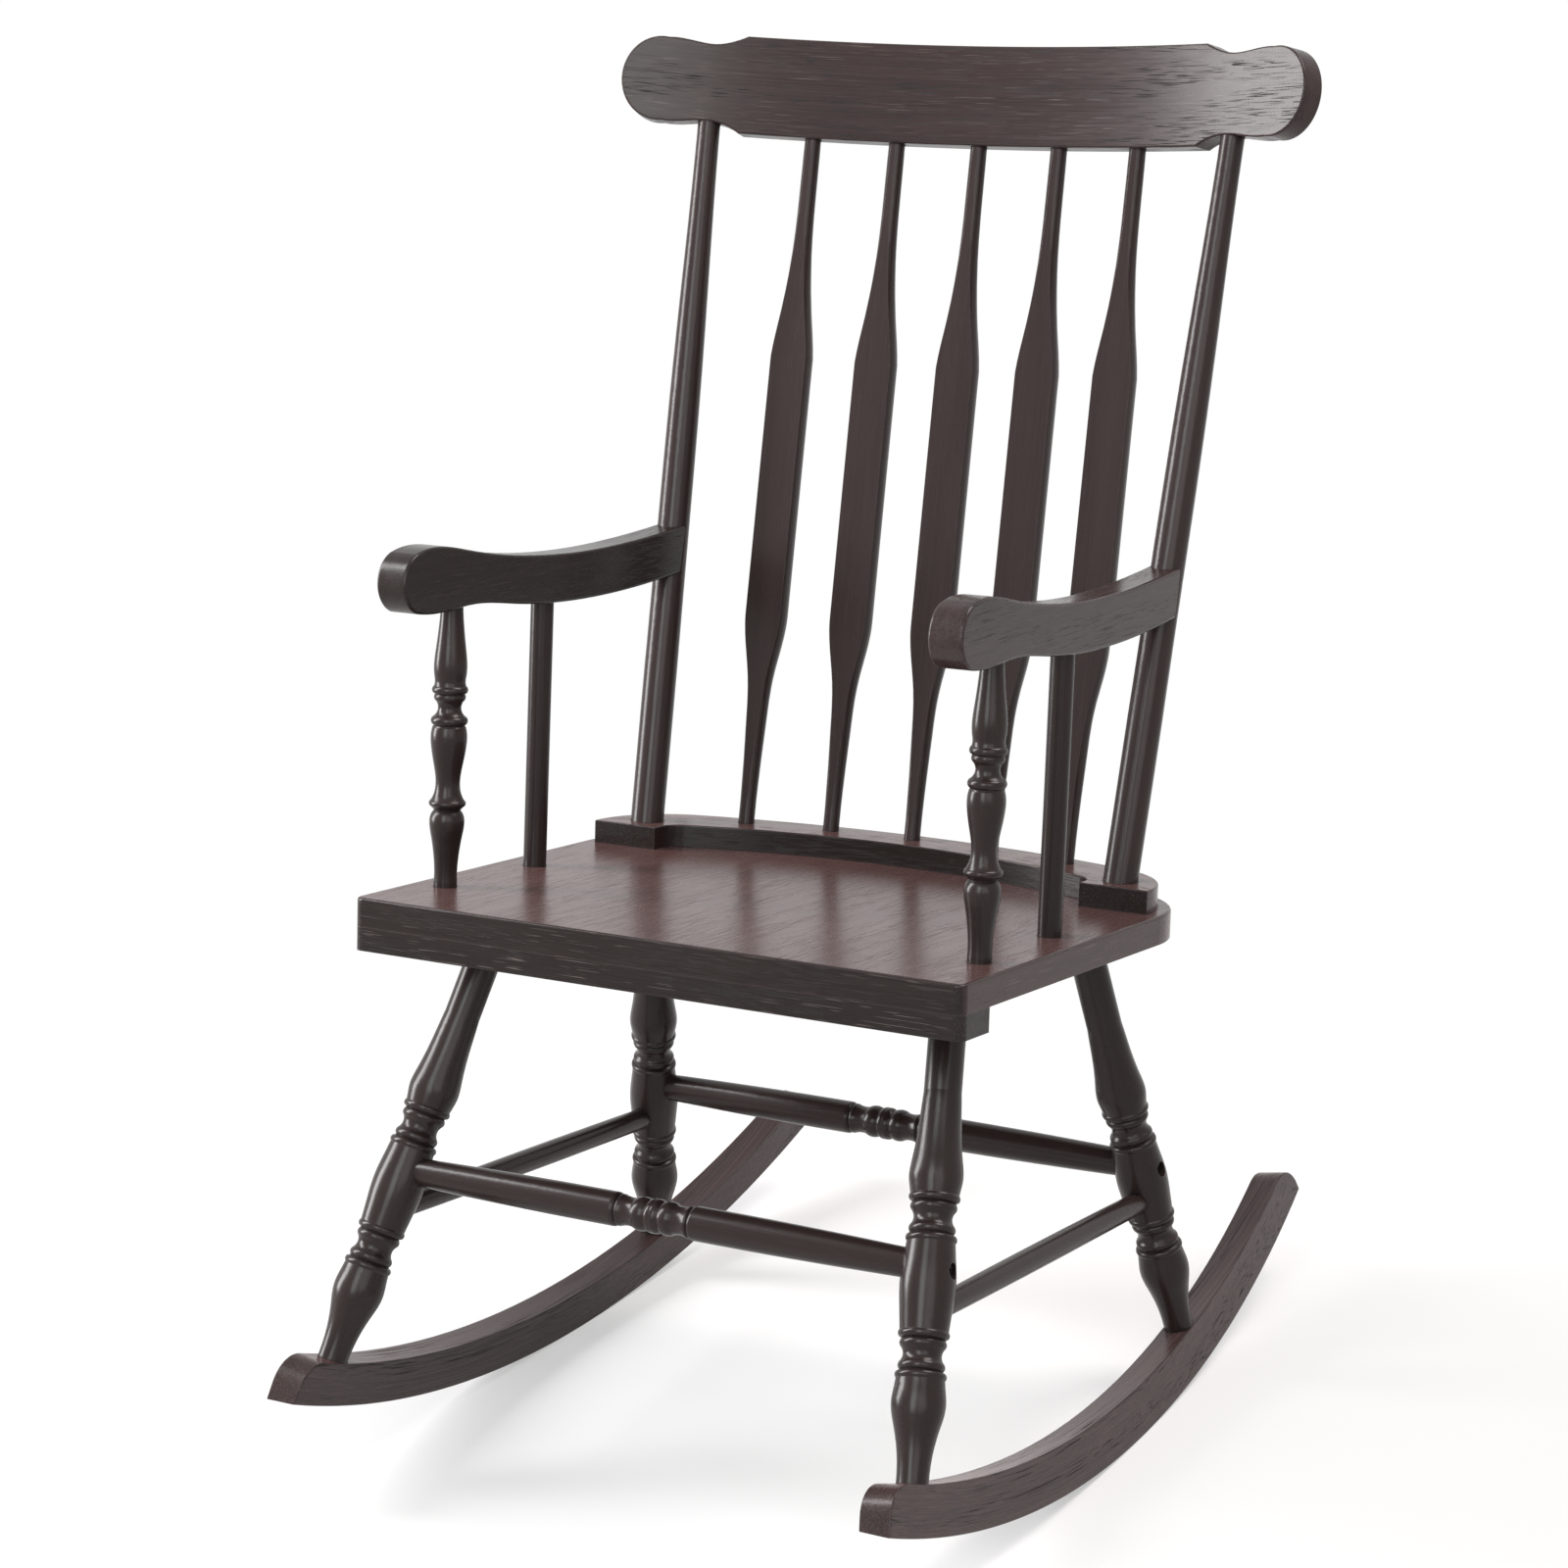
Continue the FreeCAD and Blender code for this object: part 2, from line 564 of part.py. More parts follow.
def add_cross_stretcher(chair, name, top_y, rake):
    leg = chair.left["leg_" + name]
    end = leg_point(top_y, rake, -CROSS_STRETCHER_DROP)
    start = vec(0, end.y, end.z)
    tenon_end = end.x - LEG_BARREL_RADIUS + STRETCHER_TENON_LENGTH
    half = turned(cross_stretcher_turning(end.x), start, X_AXIS).cut(leg)
    half = half.fuse(rod(STRETCHER_TENON_RADIUS, start, X_AXIS, end.x / 2, tenon_end))
    socket = rod(STRETCHER_TENON_RADIUS + GLUE_GAP, start, X_AXIS, end.x / 2, tenon_end + SOCKET_END_GAP)
    bolt, insert, leg_hole, stretcher_hole = bolt_and_insert(end)
    chair.centre["stretcher_" + name] = half.fuse(mirrored(half)).removeSplitter()
    chair.drill("stretcher_" + name, stretcher_hole)
    chair.drill("leg_" + name, leg_hole, socket)
    chair.add_steel("stretcher_bolts", bolt)
    chair.add_steel("stretcher_inserts", insert)


def add_side_stretcher(chair):
    """Plain round stretcher, fullest in the middle, between the two legs of a side."""
    front = leg_point(FRONT_LEG_Y, FRONT_LEG_RAKE, -SIDE_STRETCHER_FRONT_DROP)
    rear = leg_point(REAR_LEG_Y, REAR_LEG_RAKE, -SIDE_STRETCHER_REAR_DROP)
    direction = rear - front
    length = direction.Length
    middle, end = SIDE_STRETCHER_RADIUS, SIDE_STRETCHER_END_RADIUS
    body = turned([[(0.0, end), (length / 2, middle), (length, end)]], front, direction)
    body = body.cut([chair.left["leg_front"], chair.left["leg_rear"]])
    inset = LEG_BARREL_RADIUS - STRETCHER_TENON_LENGTH
    tenon = rod(STRETCHER_TENON_RADIUS, front, direction, inset, length - inset)
    socket = rod(STRETCHER_TENON_RADIUS + GLUE_GAP, front, direction, inset - SOCKET_END_GAP,
                 length - inset + SOCKET_END_GAP)
    chair.left["stretcher_side"] = body.fuse(tenon).removeSplitter()
    chair.drill("leg_front", socket)
    chair.drill("leg_rear", socket)


# Crest rail

CREST_FRAME = FreeCAD.Placement(vec(0, SEAT_DEPTH + CREST_SETBACK, CREST_HEIGHT),
                                FreeCAD.Rotation(X_AXIS, -CREST_LEAN))


def crest_centre(x, z):
    """Point in the middle of the crest's thickness, in the seat's frame, for a place in the crest's own frame."""
    radius = CREST_RADIUS + CREST_THICKNESS / 2
    return CREST_FRAME.multVec(vec(x, back_arc(x, 0, radius) + CREST_THICKNESS / 2, z))


def crest_outline(y):
    """Outline of the crest where lines square to its bend meet the plane at y, in the crest's own frame."""
    posts = CREST_RADIUS * math.asin(POST_HEAD_X / CREST_RADIUS)
    straight = posts + CREST_STRAIGHT_END
    notch_x = posts + CREST_NOTCH_CENTRE
    lobe_x = posts + CREST_LOBE_CENTRE
    top, bottom, notch = CREST_TOP, CREST_BOTTOM, CREST_NOTCH_DEPTH
    lobe_z, lobe = CREST_LOBE_Z, CREST_LOBE_HALF_HEIGHT
    step, rise = notch_x - straight, lobe_x - notch_x

    def at(sign, along, z):
        return vec(sign * (CREST_RADIUS + y) * math.tan(along / CREST_RADIUS), y, z)

    def end(sign):
        return [
            curve([at(sign, straight, top), at(sign, straight + 0.37 * step, top - 0.52 * notch),
                   at(sign, notch_x, top - notch), at(sign, notch_x + 0.45 * rise, lobe_z + 0.955 * lobe),
                   at(sign, lobe_x, lobe_z + lobe)]),
            curve([at(sign, lobe_x, lobe_z + lobe), at(sign, lobe_x + CREST_LOBE_REACH, lobe_z),
                   at(sign, lobe_x, lobe_z - lobe)]),
            curve([at(sign, lobe_x, lobe_z - lobe), at(sign, notch_x + 0.55 * rise, lobe_z - 0.985 * lobe),
                   at(sign, notch_x, bottom + 1.08 * notch),
                   at(sign, straight + 0.46 * step, bottom + 0.74 * notch), at(sign, straight, bottom)]),
        ]

    across = [curve([at(-1, straight, z), at(1, straight, z)]) for z in (bottom, top)]
    return Part.Wire(Part.sortEdges(end(1) + end(-1) + across)[0])


def crest_blank():
    """Bent board with straight edges, and a round lobe beyond a cove at each end."""
    prism = Part.makeLoft([crest_outline(-CREST_RADIUS / 4), crest_outline(2 * CREST_THICKNESS)], True, True)
    drum = Part.makeCylinder(CREST_RADIUS + CREST_THICKNESS, FAR, vec(0, -CREST_RADIUS, -FAR / 2), Z_AXIS)
    drum = drum.cut(Part.makeCylinder(CREST_RADIUS, FAR, vec(0, -CREST_RADIUS, -FAR / 2), Z_AXIS))
    return drum.common(prism)


def round_crest(blank):
    """Softens the edges of the crest's front and back faces, but not those that cross its thickness."""
    def crosses(edge):
        return edge.Length < 1.3 * CREST_THICKNESS and edge.BoundBox.ZLength < HAIR
    return round_edges(blank, CREST_EDGE_ROUND, lambda e: not crosses(e))


# Back posts and arrow spindles

POST_FOOT = vec(POST_X, POST_Y, 0)
POST_HEAD = crest_centre(POST_HEAD_X, CREST_BOTTOM)
POST_LINE = (POST_HEAD - POST_FOOT).normalize()


def post_turning(length):
    base, top = POST_BASE_RADIUS, POST_TOP_RADIUS
    return [
        [(-RUN_ON, base), (0.25 * length, base)],
        [(0.25 * length, base), (0.43 * length, 0.97 * base), (0.66 * length, 0.6 * base + 0.46 * top),
         (0.79 * length, 0.43 * base + 0.57 * top), (0.9 * length, 0.14 * base + 0.86 * top), (length, top)],
        [(length, top), (length + RUN_ON, top)],
    ]


def post_body(crest):
    body = turned(post_turning((POST_HEAD - POST_FOOT).Length), POST_FOOT, POST_LINE)
    return body.cut([half_space_below(RAIL_THICKNESS), crest])


def spindle_turning(length):
    """Strokes of an arrow spindle from the rail up to the crest, before its faces are cut flat."""
    end, wide = SPINDLE_END_RADIUS, SPINDLE_PADDLE_RADIUS
    low, taper = SPINDLE_LOWER_TAPER, SPINDLE_UPPER_TAPER
    high = length - taper
    return [
        [(-RUN_ON, end), (0.1 * low, end)],
        [(0.1 * low, end), (0.288 * low, 1.1 * end), (0.477 * low, 1.27 * end), (0.672 * low, 1.53 * end),
         (0.762 * low, 0.69 * wide), (0.861 * low, 0.86 * wide), (low, wide)],
        [(low, wide), (high, wide)],
        [(high, wide), (high + 0.102 * taper, 0.88 * wide), (high + 0.191 * taper, 0.745 * wide),
         (high + 0.28 * taper, 0.63 * wide), (high + 0.373 * taper, 1.44 * end),
         (high + 0.465 * taper, 1.25 * end), (high + 0.647 * taper, 1.07 * end), (length, end)],
        [(length, end), (length + RUN_ON, end)],
    ]


def add_arrow_spindle(chair, number, x, crest):
    base = vec(x, back_arc(x, RAIL_BACK, RAIL_BACK_RADIUS) - SPINDLE_BACKSET, RAIL_THICKNESS)
    head = crest_centre(x, CREST_BOTTOM)
    direction = (head - base).normalize()
    length = (head - base).Length
    flats = Part.makeBox(FAR, SPINDLE_THICKNESS, FAR, vec(-FAR / 2, -SPINDLE_THICKNESS / 2, -FAR / 2))
    flats.Placement = frame_along(base, direction)
    body = turned(spindle_turning(length), base, direction).common(flats)
    body = body.cut([half_space_below(RAIL_THICKNESS), crest])
    ends = (("back_rail", -SPINDLE_RAIL_DEPTH, RUN_ON, -SOCKET_END_GAP, 0),
            ("crest_rail", length - RUN_ON, length + SPINDLE_CREST_DEPTH, 0, SOCKET_END_GAP))
    tenons = []
    for carrier, low, high, low_gap, high_gap in ends:
        tenons.append(rod(SPINDLE_TENON_RADIUS, base, direction, low, high))
        socket = rod(SPINDLE_TENON_RADIUS + GLUE_GAP, base, direction, low + low_gap, high + high_gap)
        chair.drill(carrier, socket)
    chair.centre["arrow_spindle_" + str(number)] = body.fuse(tenons).removeSplitter()


def add_back(chair):
    crest = crest_blank()
    chair.centre["crest_rail"] = round_crest(crest)
    chair.centre["crest_rail"].Placement = CREST_FRAME
    crest.Placement = CREST_FRAME
    foot_end = -POST_SEAT_DEPTH
    rail_end = RAIL_THICKNESS + RUN_ON
    head_start = (POST_HEAD - POST_FOOT).Length - RUN_ON
    head_end = head_start + RUN_ON + POST_CREST_DEPTH
    seat_tenon = rod(POST_TENON_RADIUS, POST_FOOT, POST_LINE, foot_end, rail_end)
    seat_socket = rod(POST_TENON_RADIUS + GLUE_GAP, POST_FOOT, POST_LINE, foot_end - SOCKET_END_GAP, rail_end)
    crest_tenon = rod(POST_CREST_TENON_RADIUS, POST_FOOT, POST_LINE, head_start, head_end)
    crest_socket = rod(POST_CREST_TENON_RADIUS + GLUE_GAP, POST_FOOT, POST_LINE, head_start,
                       head_end + SOCKET_END_GAP)
    chair.left["back_post"] = post_body(crest).fuse([seat_tenon, crest_tenon]).removeSplitter()
    chair.drill("seat", seat_socket)
    chair.drill("back_rail", seat_socket)
    chair.drill("crest_rail", crest_socket)
    for number in range(1, 6):
        add_arrow_spindle(chair, number, (3 - number) * SPINDLE_SPACING, crest)


# Arms and their uprights

def arm_blank(rear_x, rear_y):
    """Arm board from its nose to behind the post, along the line from its support to the post."""
    depth_factor = rear_y / ARM_DRAWN_DEPTH
    top = [vec(0, y * depth_factor, ARM_HEIGHT + z) for y, z in ARM_TOP_LINE]
    under = [vec(0, y * depth_factor, ARM_HEIGHT + z) for y, z in ARM_UNDER_LINE]
    nose = vec(0, ARM_NOSE[0], ARM_HEIGHT + ARM_NOSE[1])
    face = face_within([curve(top), curve([top[-1], under[-1]]), curve(under), curve([under[0], nose, top[0]])])
    face.translate(X_AXIS * (-ARM_THICKNESS / 2))
    board = face.extrude(X_AXIS * ARM_THICKNESS)
    board = round_edges(board, ARM_EDGE_ROUND, lambda e: e.BoundBox.XLength < HAIR)
    toe = math.degrees(math.atan2(SUPPORT_X - rear_x, rear_y - SUPPORT_Y))
    board.rotate(vec(0, SUPPORT_Y, 0), Z_AXIS, toe)
    board.translate(X_AXIS * SUPPORT_X)
    return board


def support_turning():
    """Strokes of an arm support from the seat up, running on a little at both ends."""
    lip, cove = SUPPORT_LIP_RADIUS, SUPPORT_COVE_RADIUS
    foot, head = SUPPORT_FOOT_RADIUS, SUPPORT_HEAD_RADIUS
    length = SUPPORT_TURNING_LENGTH
    return [
        [(-RUN_ON, foot), (4.0, foot)],
        [(4.0, foot), (22.6, 1.05 * foot), (38.7, 0.82 * lip), (50.6, 0.945 * lip), (56.0, 0.92 * lip),
         (60.0, 0.8 * lip)],
        [(60.0, 0.8 * lip), (61.4, 0.71 * lip)],
        [(61.4, 0.71 * lip), (64.4, 0.9 * lip)],
        [(64.4, 0.9 * lip), (66.6, lip), (69.4, 0.91 * lip)],
        [(69.4, 0.91 * lip), (75.0, 0.73 * lip), (83.0, cove), (101.0, 0.83 * lip), (112.0, 0.95 * lip),
         (119.0, 0.985 * lip), (127.6, 0.91 * lip)],
        [(127.6, 0.91 * lip), (129.0, 0.85 * lip)],
        [(129.0, 0.85 * lip), (130.4, 0.94 * lip)],
        [(130.4, 0.94 * lip), (132.8, lip), (136.0, 0.9 * lip)],
        [(136.0, 0.9 * lip), (143.0, 0.95 * cove), (149.0, 0.79 * lip)],
        [(149.0, 0.79 * lip), (151.6, 0.86 * lip), (153.9, 0.81 * lip)],
        [(153.9, 0.81 * lip), (155.2, 0.93 * lip)],
        [(155.2, 0.93 * lip), (157.2, 0.975 * lip), (160.4, 0.87 * lip)],
        [(160.4, 0.87 * lip), (163.5, 0.83 * lip), (169.0, 0.87 * lip), (179.0, 0.89 * lip),
         (191.5, 0.8 * lip), (206.6, 1.13 * head), (length, head)],
        [(length, head), (length + RUN_ON, head)],
    ]


def add_upright(chair, name, strokes, drawn_length, x, y, rake):
    """Turned or plain upright from the seat to the underside of the arm, with its tenons."""
    arm = chair.left["arm"]
    base = vec(x, y, 0)
    direction = vec(0, rake, 1).normalize()
    length = distances_along(base, direction, arm)[0]
    body = turned(stretched(strokes, length / drawn_length), base, direction)
    body = body.cut([half_space_below(0), arm])
    low, high = -UPRIGHT_TENON_LENGTH, length + UPRIGHT_TENON_LENGTH
    tenon = rod(UPRIGHT_TENON_RADIUS, base, direction, low, high)
    socket = rod(UPRIGHT_TENON_RADIUS + GLUE_GAP, base, direction, low - SOCKET_END_GAP,
                 high + SOCKET_END_GAP)
    chair.left[name] = body.fuse(tenon).removeSplitter()
    chair.drill("seat", socket)
    chair.drill("arm", socket)


def add_arms(chair):
    joint = POST_FOOT + POST_LINE * (ARM_SCREW_HEIGHT / POST_LINE.z)
    behind = Part.makeBox(FAR, FAR, FAR, vec(-FAR / 2, -ARM_REAR_SETBACK, -FAR / 2))
    post_lean = math.degrees(math.atan2(POST_LINE.y, POST_LINE.z))
    behind.Placement = FreeCAD.Placement(POST_FOOT, FreeCAD.Rotation(X_AXIS, -post_lean))
    chair.left["arm"] = arm_blank(joint.x, joint.y).cut(behind).cut(chair.left["back_post"])
    plain = [[(-RUN_ON, ARM_SPINDLE_RADIUS), (ARM_HEIGHT + RUN_ON, ARM_SPINDLE_RADIUS)]]
    add_upright(chair, "arm_support", support_turning(), SUPPORT_TURNING_LENGTH, SUPPORT_X, SUPPORT_Y,
                SUPPORT_RAKE)
    add_upright(chair, "arm_spindle", plain, ARM_HEIGHT, ARM_SPINDLE_X, ARM_SPINDLE_Y, ARM_SPINDLE_RAKE)
    forwards = vec(SUPPORT_X - joint.x, SUPPORT_Y - joint.y, 0).normalize()
    solid, hole = screw(joint - forwards * POST_BASE_RADIUS, forwards, ARM_SCREW_RECESS, ARM_SCREW_LENGTH)
    chair.add_steel("arm_screws", solid)
    chair.drill("arm", hole)
    chair.drill("back_post", hole)


# Standing on the floor

def standing_placement(parts, steel):
    """Leans the chair until its weight is under the centre of its rockers' circle, and stands it on z = 0."""
    mass = 0.0
    moment = vec(0, 0, 0)
    for name, shape in parts.items():
        density = STEEL_DENSITY if name in steel else WOOD_DENSITY
        for solid in shape.Solids:
            mass += solid.Volume * density
            moment += solid.CenterOfMass * (solid.Volume * density)
    centre_of_mass = moment / mass
    rocking_centre = vec(0, ROCKER_LOW_Y, ROCKER_RADIUS - ROCKER_DROP)
    lean = math.atan((centre_of_mass.y - rocking_centre.y) / (rocking_centre.z - centre_of_mass.z))
    turn = FreeCAD.Rotation(X_AXIS, -math.degrees(lean))
    boxes = [parts[name].copy() for name in ("rocker_left", "crest_rail")]
    for shape in boxes:
        shape.Placement = FreeCAD.Placement(ORIGIN, turn).multiply(shape.Placement)
    boxes = [shape.optimalBoundingBox(False, False) for shape in boxes]
    middle = (min(box.YMin for box in boxes) + max(box.YMax for box in boxes)) / 2
    floor = turn.multVec(rocking_centre).z - ROCKER_RADIUS
    print("mass", round(mass / 1000, 2), "kg, lean", round(math.degrees(lean), 3), "degrees, moved by",
          round(-middle, 2), round(-floor, 2))
    return FreeCAD.Placement(vec(0, -middle, -floor), turn)


def main():
    chair = Chair()
    add_seat(chair)
    add_legs_and_rocker(chair)
    for name, top_y, rake in LEGS:
        add_cross_stretcher(chair, name, top_y, rake)
    add_side_stretcher(chair)
    add_back(chair)
    add_arms(chair)
    parts = chair.finished()
    place = standing_placement(parts, chair.steel)
    os.makedirs("parts", exist_ok=True)
    for name, shape in parts.items():
        shape.Placement = place.multiply(shape.Placement)
        shape.exportStep(os.path.join("parts", name + ".step"))
        state = "valid" if shape.isValid() else "INVALID"
        print(name, state, len(shape.Solids), "solids", round(shape.Volume))


main()
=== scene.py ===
"""Boston rocking chair: stained and lacquered wood, black steel bolts, a pale studio and the camera."""
import json
import math
import random

import bpy
from mathutils import Euler, Matrix, Vector


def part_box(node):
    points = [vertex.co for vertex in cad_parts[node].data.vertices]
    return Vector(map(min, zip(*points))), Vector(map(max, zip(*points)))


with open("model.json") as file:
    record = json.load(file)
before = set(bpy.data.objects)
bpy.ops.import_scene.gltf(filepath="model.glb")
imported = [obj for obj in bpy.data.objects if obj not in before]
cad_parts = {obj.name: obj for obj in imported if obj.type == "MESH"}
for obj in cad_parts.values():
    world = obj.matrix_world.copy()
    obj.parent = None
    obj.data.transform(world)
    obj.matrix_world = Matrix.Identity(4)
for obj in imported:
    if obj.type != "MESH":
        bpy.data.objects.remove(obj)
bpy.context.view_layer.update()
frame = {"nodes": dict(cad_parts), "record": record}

# Camera, in metres and degrees of the seat's own frame: x to the sitter's left, y back from the front edge,
# z up from the seat
CAMERA_PLACE = (1.5778, -2.5229, 0.5966)
CAMERA_AZIMUTH = 30.085
CAMERA_ELEVATION = 9.094
CAMERA_ROLL = 1.66
CAMERA_LENS = 93.08
SENSOR = 36.0

# The seat_top mount lies on the seat's top face, on the middle line, this far behind the front edge
SEAT_MOUNT_Y = 0.2

# Arcs of the rockers, the crest rail and the back rail, for grain that follows the bend
ROCKER_RADIUS = 0.941
CREST_RADIUS = 0.875
CREST_LEAN = 9.65
RAIL_RADIUS = 0.517
RAIL_CENTRE_Y = -0.127

# Plum brown on broad faces; charcoal on turned wood; a share set by the way a face looks paints light and
# shade, tops lighter and fronts darker
PLUM_DARK = (0.015, 0.0093, 0.0088, 1)
PLUM_LIGHT = (0.062, 0.0400, 0.0385, 1)
CHARCOAL_DARK = (0.0058, 0.0040, 0.0036, 1)
CHARCOAL_LIGHT = (0.0210, 0.0145, 0.0132, 1)
# The pore colour, also painted into grooves and along dark edges as shade
PORE_AND_PAINTED_SHADE = (0.0040, 0.0030, 0.0030, 1)
WOOD_SCRATCH = (0.17, 0.14, 0.13, 1)
# Lighter edges: partly wear, partly a painted highlight
EDGE_WEAR_AND_PAINTED_HIGHLIGHT = (0.11, 0.075, 0.068, 1)
SHEEN_TINT = (1.0, 0.45, 0.42, 1)
SHEEN_ROUGHNESS = 0.4
STEEL_DARK = (0.010, 0.010, 0.010, 1)
STEEL_LIGHT = (0.045, 0.044, 0.043, 1)

# Sizes of the finish, in metres: edges, lightened as wear and a painted highlight, darkened as painted shade
# on some pieces; grooves darkened as painted shade; the lacquer's soft edges; depth of the relief
EDGE_WIDTH = 0.0016
GROOVE_SHADE_REACH = 0.005
SOFT_EDGE = 0.0005
RELIEF_DEPTH = 0.0003
STEEL_RELIEF_DEPTH = 0.0002

# A face starts to count as looking in a direction where the cosine between that and its normal is the first
# of these, and fully counts from the second
FACING_FROM, FACING_TO = 0.5, 0.7

# Share of a straight piece's length that counts as its end
END_SHARE = 0.03

# Samples of each bevel and occlusion node
SAMPLES = 4

# Noises of the finish: cells per metre along the grain and across it, octaves and, for the fibres, roughness
RING_WAVER = (4.0, 16.0, 2.0)
FIBRES = (8.0, 640.0, 3.0, 0.60)
BROAD_TONE = (3.0, 40.0, 2.0)
CROWDING = (7.0, 60.0, 1.0)
PORE_DASHES = (42.0, 1500.0, 0.0)
SCRATCH_LINES = (36.0, 1500.0, 0.0)
STEEL_SPECKLE = (900.0, 900.0, 3.0)

# Growth rings per metre through the board and across it, and how many of them the waver shifts
RINGS_THROUGH = 90.0
RINGS_ACROSS = 46.0
RINGS_SHIFTED = 11.0

# Lacquered wood without grain or wear: its place between dark and light, and its roughness
BASE_TONE = 0.42
BASE_ROUGHNESS = 0.235

# Share of charcoal in the stain of the pieces that have one share all over
TURNED_CHARCOAL = 0.75
SLENDER_CHARCOAL = 0.5
SLENDER_PIECES = ("back_post", "arrow", "stretcher_side")
# Painted light: the two arms are lit and shaded copies of one wood, the left arm painted lit with little
# charcoal and the right arm painted in shade with much
ARM_CHARCOAL_PAINTED_LIGHT = {"arm_left": 0.2, "arm_right": 0.85}

# Strength of the grain, wear, painted edge highlight and edge shade, and gloss of each kind of piece
TURNED_LOOK = {"streaks": 0.35, "pores": 0.2, "scratches": 0.1, "relief": 0.06, "gloss": 0.2}
SEAT_LOOK = {"figure": 0.3, "pores": 0.3, "scratches": 0.6, "relief": 0.5, "sheen": 0.08}
RAIL_LOOK = {"scratches": 0.6, "sheen": 0.08}
BATTEN_LOOK = {"scratches": 1.0}
ARM_LOOK = {"figure": 0.2, "pores": 0.6}
CREST_LOOK = {"streaks": 0.7, "pores": 1.1, "scratches": 0.6, "edge": 0.0, "painted_edge_shade": 0.8, "relief": 0.12,
              "gloss": 0.19}
ROCKER_LOOK = {"streaks": 1.6, "pores": 1.2, "edge": 0.0, "painted_edge_shade": 0.9, "relief": 0.25, "sheen": 0.06,
               "length": 2.5}

# Light that the world gives; rays that show the background see it as white
WORLD_LIGHT = 0.08

# Floor: its colour, and the part around the chair where it keeps the most shadow
FLOOR_SIZE = 80.0
FLOOR_COLOUR = (0.80, 0.80, 0.80, 1)
FLOOR_ROUGHNESS = 0.8
FLOOR_GLOSS = 0.1
SHADOW_CENTRE = (-0.15, -0.1, 0.0)
SHADOW_FROM, SHADOW_TO = 0.35, 1.4
WHITE_IN_SHADOW_AREA = 0.42

# Lamps: place and width by height in metres, power in watts, colour
LAMP_TARGET = (0, 0, 0.55)
LAMPS = {
    "key_behind_right": ((1.54, 1.29, 3.72), (1.8, 1.8), 120.0, (1.0, 0.92, 0.90)),
    "strip_left": ((-2.73, -1.10, 1.85), (1.0, 3.0), 200.0, (1.0, 0.98, 0.99)),
    "soft_front": ((0.42, -2.97, 2.15), (1.2, 2.4), 65.0, (0.94, 1.0, 0.98)),
    "soft_right": ((2.16, -2.16, 1.95), (2.0, 2.2), 36.0, (1.0, 0.95, 0.94)),
}


# Seat frame, worked out from the mount on the seat

mounts = {mount["name"]: mount for mount in frame["record"]["mounts"]}
seat_normal = Vector(mounts["seat_top"]["axis"])
lean = math.atan2(seat_normal.y, seat_normal.z)
seat_turn = Matrix.Rotation(-lean, 3, "X")
seat_origin = Vector(mounts["seat_top"]["pos_m"]) - seat_turn @ Vector((0, SEAT_MOUNT_Y, 0))

X_AXIS = Vector((1, 0, 0))
Y_AXIS = Vector((0, 1, 0))
Z_AXIS = Vector((0, 0, 1))
seat_back = seat_turn @ Y_AXIS
seat_up = seat_turn @ Z_AXIS


def from_seat(x, y, z):
    """A point of the seat's frame in the row frame."""
    return seat_origin + seat_turn @ Vector((x, y, z))


# Node building

class Nodes:
    """Adds nodes to one tree, left to right, and links plain values or sockets to their inputs."""

    def __init__(self, tree):
        self.tree = tree
        self.count = 0

    def add(self, kind, inputs=None, **settings):
        node = self.tree.nodes.new(kind)
        node.location = (220 * (self.count % 12), -260 * (self.count // 12))
        self.count += 1
        for key, value in settings.items():
            setattr(node, key, value)
        for key, value in (inputs or {}).items():
            self.feed(node.inputs[key], value)
        return node

    def feed(self, socket, value):
        if isinstance(value, bpy.types.NodeSocket):
            self.tree.links.new(value, socket)
        else:
            socket.default_value = value

    def math(self, operation, *values, clamp=False):
        node = self.add("ShaderNodeMath", operation=operation, use_clamp=clamp)
        for socket, value in zip(node.inputs, values):
            self.feed(socket, value)
        return node.outputs[0]

    def plus(self, total, value, share, clamp=False):
        """total with a share of value added."""
        return self.math("MULTIPLY_ADD", value, share, total, clamp=clamp)

    def vector(self, operation, *values, out="Vector"):
        node = self.add("ShaderNodeVectorMath", operation=operation)
        for socket, value in zip(node.inputs, values):
            self.feed(socket, value)
        return node.outputs[out]

    def ramp(self, factor, low, high, start=0.0, end=1.0, kind="SMOOTHSTEP"):
        """factor between low and high, mapped to start and end."""
        node = self.add("ShaderNodeMapRange", {"Value": factor, "From Min": low, "From Max": high,
                                               "To Min": start, "To Max": end}, interpolation_type=kind)
        return node.outputs["Result"]

    def noise(self, where, along, across, detail, roughness=0.5):
        """Noise with so many cells per metre along the grain, which is x, and across it."""
        stretched = self.vector("MULTIPLY", where, (along, across, across))
        node = self.add("ShaderNodeTexNoise", {"Vector": stretched, "Scale": 1.0, "Detail": detail,
                                               "Roughness": roughness})
        return node.outputs["Fac"]

    def mix(self, factor, first, second):
        node = self.add("ShaderNodeMix", data_type="RGBA")
        self.feed(node.inputs["Factor"], factor)
        self.feed(node.inputs[6], first)
        self.feed(node.inputs[7], second)
        return node.outputs[2]


